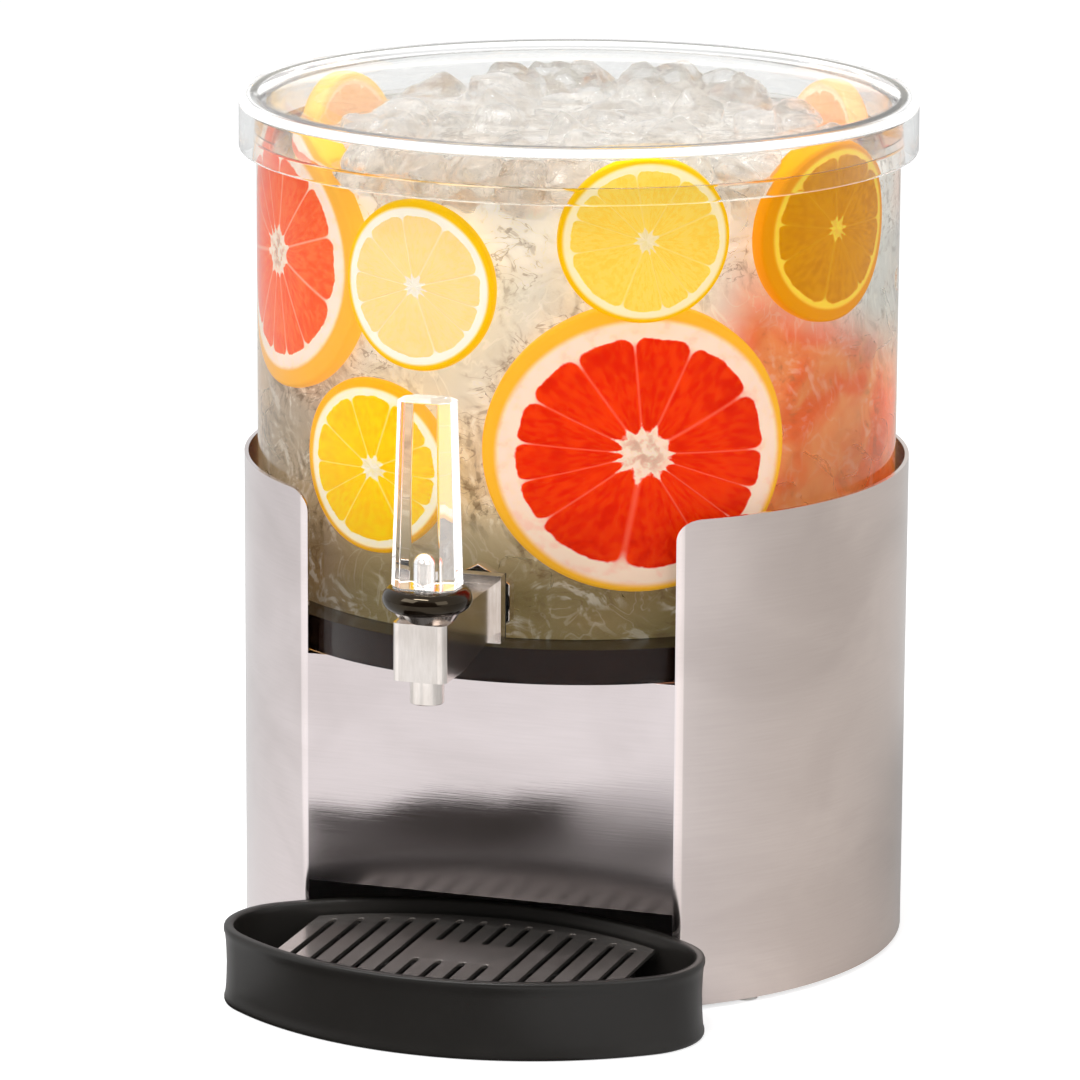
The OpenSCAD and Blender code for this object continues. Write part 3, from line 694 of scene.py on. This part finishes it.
class Slice:
    """Citrus slice against the container's wall: bearing in degrees, the rest in millimetres.

    rim says how far its rind reaches into the face, right and up, as shares of the radius, across how
    much wider than high it looks in the round drink, and behind how far it lies from the wall.
    """

    def __init__(self, name, material, bearing, height, radius, thickness, roll=0.0, lean=0.0,
                 rim=(0, 0), across=1.0, behind=0.0):
        self.name, self.material = name, material
        self.across, self.behind = across, behind * MM
        self.rim = Vector(rim)
        self.bearing, self.height = math.radians(bearing), height * MM
        self.radius, self.thickness = radius * MM, thickness * MM
        self.roll, self.lean = math.radians(roll), lean

    def covers(self, bearing, height, margin):
        """Whether the slice lies at that place on the wall, or nearer to it than the margin."""
        turn = (bearing - self.bearing + math.pi) % (2 * math.pi) - math.pi
        return math.hypot(turn * FRUIT_R / self.across, height - self.height) < self.radius + margin

    def make(self):
        around, steps, corner, bulge = 96, 12, 1.6 * MM, 0.4 * MM
        faces = [i / steps * (self.radius - corner) for i in range(1, steps + 1)]
        profile = [(r, 0.0) for r in faces]
        front = arc((0, 0), corner, 90, 0, 5)[1:]
        profile += [(self.radius - corner + x, corner - y) for x, y in front]
        profile += [(self.radius + bulge, self.thickness / 2)]
        back = self.thickness - corner
        profile += [(self.radius - corner + x, back - y) for x, y in arc((0, 0), corner, 0, -90, 5)]
        profile += [(r, self.thickness) for r in reversed(faces[:-1:3])]

        def build(bm):
            flat = bm.verts.layers.float_vector.new("flat")

            def corner_at(r, depth, turn):
                u, v = r * math.cos(turn), r * math.sin(turn)
                inward = depth + self.behind + self.lean * (v + self.radius)
                bearing = self.bearing + self.across * u / FRUIT_R
                vert = bm.verts.new(around_axis(bearing, FRUIT_R - inward, self.height + v))
                face = Vector((u, v)) * ((1 + self.rim.length) / self.radius) + self.rim
                face.rotate(Matrix.Rotation(self.roll, 2))
                vert[flat] = (*face, depth)
                return vert

            turns = [2 * math.pi * i / around for i in range(around)]
            rings = [[corner_at(r, depth, turn) for turn in turns] for r, depth in profile]
            skin_rings(bm, rings, closed=False)
            for ring, depth in ((rings[0], 0.0), (rings[-1], self.thickness)):
                middle = corner_at(0.0, depth, 0.0)
                for i, vert in enumerate(ring):
                    bm.faces.new((middle, vert, ring[(i + 1) % around]))

        piece(self.name, mesh_from(self.name, build), self.material, "container", 60)


SLICES = [
    Slice("slice_grapefruit_front", GRAPEFRUIT, 29.4, 208.6, 52, 10, roll=20, lean=0.07,
          rim=(-0.02, 0.03), across=1.13),
    Slice("slice_grapefruit_left", PALE_GRAPEFRUIT, -53.5, 264, 48, 10, roll=75,
          rim=(0.05, -0.03), across=1.12, behind=7.3),
    Slice("slice_lemon_left", LEMON, -12.3, 265.5, 30.8, 7, roll=10),
    Slice("slice_lemon_right", DEEP_LEMON, 29.8, 285, 29.8, 7, roll=50, across=1.06),
    Slice("slice_amber", AMBER, 70, 281, 33, 10, roll=30, rim=(-0.03, -0.03), across=1.1),
    Slice("slice_orange_front", ORANGE, -21.7, 197, 32, 7, rim=(-0.02, 0.02), across=1.07),
    Slice("slice_orange_top_left", PALE_ORANGE, -108, 289, 27, 8, roll=40),
    Slice("slice_orange_top_right", PEACH, 137, 288, 28, 8, roll=15),
    Slice("slice_lemon_back", LEMON, 122, 200, 30, 7, roll=70),
    Slice("slice_grapefruit_back", GRAPEFRUIT, 168, 188, 47, 10, roll=45),
    Slice("slice_orange_back", ORANGE, 212, 205, 32, 7, roll=25),
    Slice("slice_lemon_low", LEMON, 240, 167, 29, 7, roll=5),
    Slice("slice_orange_left", ORANGE, 262, 210, 31, 7, roll=60),
]


def drink():
    """Clear drink that fills the container, with a raised edge and low ripples on top."""
    radius = INNER_R + SKIN
    low = floor_high.z - SKIN
    profile = [(0.3 * radius, low), (radius, low), (radius, (low + LEVEL) / 2)]
    profile += [(radius, LEVEL + 1.5 * MM)]
    profile += [(radius - 1.2 * MM, LEVEL + 0.6 * MM), (radius - 3 * MM, LEVEL)]
    profile += [(radius * (0.93 - 0.09 * i), LEVEL) for i in range(11)]

    def build(bm):
        lathe(bm, profile, closed=False, around=192)
        for vert in bm.verts:
            inward = 1 - (vert.co - AXIS).to_2d().length / radius
            if vert.co.z >= LEVEL - 0.1 * MM and inward > 0.02:
                wave = noise.noise(vert.co * 45) + 0.5 * noise.noise(vert.co * 110)
                vert.co.z += 1.6 * MM * wave * min(1.0, 8 * inward)

    piece("drink", mesh_from("drink", build), WATER, "container")


def slush_core():
    """Packed crushed ice in the middle of the drink."""
    low, high = floor_high.z + 0.3 * MM, LEVEL - 5 * MM
    steps = 44
    profile = [(0.3 * SLUSH_R, low)]
    profile += [(SLUSH_R, low + (high - 6 * MM - low) * i / steps) for i in range(steps + 1)]
    profile += [(SLUSH_R * (0.96 - 0.09 * i), high) for i in range(11)]

    def build(bm):
        lathe(bm, profile, closed=False, around=144)
        for vert in bm.verts:
            if vert.co.z > low + MM:
                sizes = ((1.0, 38), (0.6, 85), (0.3, 190))
                lumps = sum(share * noise.noise(vert.co * scale) for share, scale in sizes)
                away = (vert.co - AXIS).to_2d()
                vert.co += Vector((*(away.normalized() * 3.5 * MM * lumps), 1.5 * MM * lumps))

    piece("slush_core", mesh_from("slush_core", build), SLUSH, "container", 80)


def add_ice(bm, centre, size, draw):
    """Melted ice cube of about that size, turned and shaped by chance."""
    made = bmesh.ops.create_icosphere(bm, subdivisions=3, radius=1.0)
    turn = Euler([draw.uniform(0, math.pi) for _ in range(3)]).to_matrix()
    stretch = Matrix.Diagonal([draw.uniform(0.75, 1.15) for _ in range(3)])
    seed = Vector([draw.uniform(-50, 50) for _ in range(3)])
    for vert in made["verts"]:
        way = vert.co.normalized()
        cube = way / max(abs(c) for c in way) ** 0.7
        melt = 0.84 + 0.22 * noise.noise(way * 1.3 + seed) + 0.05 * noise.noise(way * 3.1 + seed)
        vert.co = centre + turn @ (stretch @ (cube * melt * size / 2))


def floating_ice():
    """Ice lying in the drink's surface, under the lid."""
    draw = random.Random(7)
    loose, fronted, heaped = 40, 9, 14
    ceiling = tube_high.z - 0.5 * MM
    # Crest along the back wall: bearing, distance from the axis and size
    crest = ((214, 96, 22), (205, 99, 20), (195, 98, 31), (184, 97, 25), (175, 99, 27), (163, 97, 24))

    def build(bm):
        for _ in range(loose):
            size = draw.uniform(19, 29) * MM
            away = (INNER_R - 0.75 * size) * math.sqrt(draw.random())
            bearing = draw.uniform(-math.pi, math.pi)
            add_ice(bm, around_axis(bearing, away, LEVEL + draw.uniform(-8, -2) * MM), size, draw)
        for i in range(fronted):
            size = draw.uniform(20, 26) * MM
            bearing = math.radians(-35 + 90 * i / (fronted - 1) + draw.uniform(-5, 5))
            away = INNER_R - 0.72 * size
            add_ice(bm, around_axis(bearing, away, LEVEL + draw.uniform(-4, 1) * MM), size, draw)
        for _ in range(heaped):
            size = draw.uniform(20, 32) * MM
            bearing = math.radians(draw.uniform(135, 235))
            away = draw.uniform(45, 94) * MM
            add_ice(bm, around_axis(bearing, away, LEVEL + draw.uniform(-5, 2) * MM), size, draw)
        for bearing, away, size in crest:
            centre = around_axis(math.radians(bearing), away * MM, ceiling - 0.5 * size * MM)
            add_ice(bm, centre, size * MM, draw)
        for vert in bm.verts:
            vert.co.z = min(vert.co.z, ceiling)

    obj = piece("floating_ice", mesh_from("floating_ice", build), ICE, "container", 80)
    joined = obj.modifiers.new("joined", "REMESH")
    joined.voxel_size, joined.use_smooth_shade = 1.2 * MM, True
    melted = obj.modifiers.new("melted", "SMOOTH")
    melted.factor, melted.iterations = 0.5, 3


def sunk_ice():
    """Crushed ice around the slush: near the wall where no slice lies, and else behind the slices."""
    draw = random.Random(11)
    count = 130

    def build(bm):
        for _ in range(count):
            size = draw.uniform(13, 25) * MM
            bearing = draw.uniform(-math.pi, math.pi)
            height = draw.uniform(floor_high.z + 0.6 * size, LEVEL - 0.6 * size)
            hidden = any(s.covers(bearing, height, size / 2) for s in SLICES)
            reach = FRUIT_R - 11 * MM if hidden else FRUIT_R - draw.uniform(0.5, 8) * MM
            add_ice(bm, around_axis(bearing, reach - 0.62 * size, height), size, draw)

    piece("sunk_ice", mesh_from("sunk_ice", build), SUNK_ICE, "container", 80)


# Camera, light and floor

def camera():
    ahead = Vector((-math.sin(YAW) * math.cos(PITCH), math.cos(YAW) * math.cos(PITCH), -math.sin(PITCH)))
    level = Vector((math.cos(YAW), math.sin(YAW), 0))
    above = level.cross(ahead)
    right = math.cos(ROLL) * level + math.sin(ROLL) * above
    up = math.cos(ROLL) * above - math.sin(ROLL) * level
    data = bpy.data.cameras.new("camera")
    data.lens, data.sensor_width = LENS, SENSOR
    obj = bpy.data.objects.new("camera", data)
    obj.matrix_world = Matrix.Translation(EYE) @ Matrix((right, up, -ahead)).transposed().to_4x4()
    bpy.context.scene.collection.objects.link(obj)
    bpy.context.scene.camera = obj


def area_light(name, place, target, size, watts):
    data = bpy.data.lights.new(name, "AREA")
    data.shape, data.size, data.size_y = "RECTANGLE", *size
    data.energy = watts
    obj = bpy.data.objects.new(name, data)
    obj.location = place
    obj.rotation_euler = (Vector(target) - Vector(place)).to_track_quat("-Z", "Y").to_euler()
    bpy.context.scene.collection.objects.link(obj)


def by_ray(g, diffuse, glossy, through, seen):
    """Strength of light on matte surfaces, in reflections, through clear pieces and seen straight."""
    path = g.tree.nodes.new("ShaderNodeLightPath").outputs
    strength = g.blend(path["Is Glossy Ray"], diffuse, glossy)
    strength = g.blend(path["Is Transmission Ray"], strength, through)
    return g.blend(path["Is Camera Ray"], strength, seen)


def surroundings():
    """White world for what is seen directly, softer for matte surfaces.

    Reflections see it darker behind, and dark low down in front.
    """
    world = bpy.data.worlds.new("studio")
    world.use_nodes = True
    bpy.context.scene.world = world
    g = Graph.of_tree(world.node_tree)
    _, y, z = g.parts(g.node("TexCoord", "Generated"))
    dark = g.times(g.step(y, -0.5, -0.75), g.step(z, 0.8, 0.6))
    glossy = g.blend(dark, g.span(g.step(y, 0.6, -0.6), 0.75, 0.9), 0.07)
    background = g.tree.nodes["Background"]
    g.put(background.inputs["Strength"], by_ray(g, 0.6, glossy, 0.95, 1.0))
    g.put(background.inputs["Color"], WHITE)


def studio_floor():
    """Pale floor that shows white and keeps the object's shadow.

    Reflections see less of it on the right, a dark patch in front of the tray, which is a painted shadow
    of the tray, and nothing under the base, which is painted shade.
    """
    size, drop = 6.0, 0.2 * MM
    half, soft, fold = 76 * MM, 12 * MM, 35 * MM
    g = Graph("studio_floor")
    place = g.place()
    x, y, _ = g.parts(place)
    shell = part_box("base_shell")[0]
    away = g.node("VectorMath", "Value", ((0, place), (1, AXIS)), operation="DISTANCE")
    # Painted shade: the floor's glow is taken away under the base
    inside = g.step(away, TUBE_R + 2 * MM, TUBE_R - 4 * MM)
    under = g.times(inside, g.step(y, shell.y, shell.y + 4 * MM))
    rightwards = g.step(g.math("MULTIPLY_ADD", y, 0.5, x), -0.15, 0.3)
    frontwards = g.step(y, -0.1, -0.4)
    right = g.step(x, -0.065, -0.02)

    # Dark patch, a painted shadow of the tray that only reflections see: its front edge runs aslant,
    # sharp on the left and soft on the right
    wavy = g.times(g.noise(g.join(x, 0.0), 30.0, 2.0), 30 * MM)
    bent = g.plus(wavy, g.times(x, -0.35))
    bent = g.plus(bent, g.span(g.step(x, -0.13, -0.105), 8 * MM, -14 * MM))
    ahead = g.minus(y, g.math("MINIMUM", bent, 68 * MM))
    patch = g.step(ahead, g.blend(right, -0.366, -0.43), g.blend(right, -0.345, -0.25))
    patch = g.times(patch, g.times(g.blend(right, 1.0, 0.88), g.step(y, 0.0, shell.y)))
    across = g.math("MULTIPLY_ADD", g.minus(y, shell.y), -math.tan(YAW), x)
    within = g.times(g.step(across, half + soft, half), g.step(across, -half - soft, -half))
    patch = g.times(patch, within)

    # Painted reflection light: brighter beside the patch, where the wings' folds look
    right_fold = g.times(g.step(across, half + soft, half + fold), g.step(g.plus(x, y), 0.03, -0.03))
    left_fold = g.times(g.step(across, -half - soft, -half - fold), g.step(y, -0.1, -0.2))
    beside = g.math("MAXIMUM", right_fold, left_fold)
    lit = g.plus(g.span(rightwards, 0.22, 0.06), g.times(frontwards, 0.08))
    lit = g.math("MULTIPLY_ADD", beside, 0.22, lit)
    lit = g.math("MULTIPLY_ADD", g.step(y, 0.2, 0.5), 0.08, lit)
    reflected = g.times(lit, g.minus(1.0, patch))
    through = g.span(g.step(y, 1.1, 1.45), 0.38, 0.6)
    glow = by_ray(g, 0.0, reflected, through, 0.72)
    pale = g.mix(g.noise(place, 40.0, 2.0), (0.46, 0.46, 0.46, 1), (0.48, 0.48, 0.48, 1))
    patched = g.mix(by_ray(g, 0.0, patch, 0.0, 0.0), pale, (0.03, 0.027, 0.025, 1))
    g.surface(Base_Color=patched, Roughness=0.8, Specular_IOR_Level=0.0, Emission_Color=WHITE,
              Emission_Strength=g.times(glow, g.minus(1.0, under)))

    def build(bm):
        bmesh.ops.create_grid(bm, x_segments=8, y_segments=8, size=size,
                              matrix=Matrix.Translation((0, 0, -drop)))

    obj = bpy.data.objects.new("studio_floor", mesh_from("studio_floor", build))
    obj.data.materials.append(g.material)
    bpy.context.scene.collection.objects.link(obj)


def finish_nodes():
    """Materials of the CAD nodes that show as they are."""
    kept = {
        STEEL: ("shelf_plate",),
        PALE_RUBBER: ("base_feet",),
        RUBBER: ("outer_gasket", "inner_gasket"),
        FLOOR_BLACK: ("container_floor",),
        BONNET_BLACK: ("bonnet_cap",),
        TAP_METAL: ("valve_stem", "lever_stem"),
        SPRING_STEEL: ("lever_pin",),
        SILICONE: ("stem_seal", "seat_cup"),
    }
    for material, names in kept.items():
        for name in names:
            nodes[name].data.materials.clear()
            nodes[name].data.materials.append(material)


camera()
surroundings()
studio_floor()
area_light("key", (-1.2, -1.6, 1.9), (0, 0, 0.15), (1.6, 1.2), 26)
area_light("fill", (1.8, -1.2, 1.3), (0, 0, 0.15), (1.2, 1.2), 10)
area_light("strip", (-0.1, -0.7, 1.5), (0, 0, 0.2), (0.7, 0.16), 12)
finish_nodes()
softened("base_shell", 0.4 * MM, STEEL, "base")
softened("tap_body", 0.7 * MM, TAP_METAL, "container")
softened("spout_nozzle", 0.4 * MM, TAP_METAL, "container")
softened("lock_nut", 0.6 * MM, TAP_METAL, "container")
softened("drip_grille", 0.25 * MM, GRILLE_STEEL, "grille")
softened("tap_handle", 0.5 * MM, CLEAR_HANDLE, "lever")
container_tube()
lid()
closing_spring()
drip_tray()
drink()
slush_core()
floating_ice()
sunk_ice()
for fruit in SLICES:
    fruit.make()

scene = bpy.context.scene
scene.view_settings.view_transform = "Standard"
# Light runs a long way inside the clear rim, wall and handle before it leaves them
scene.cycles.max_bounces = 48
scene.cycles.transmission_bounces = 48
scene.cycles.glossy_bounces = 32
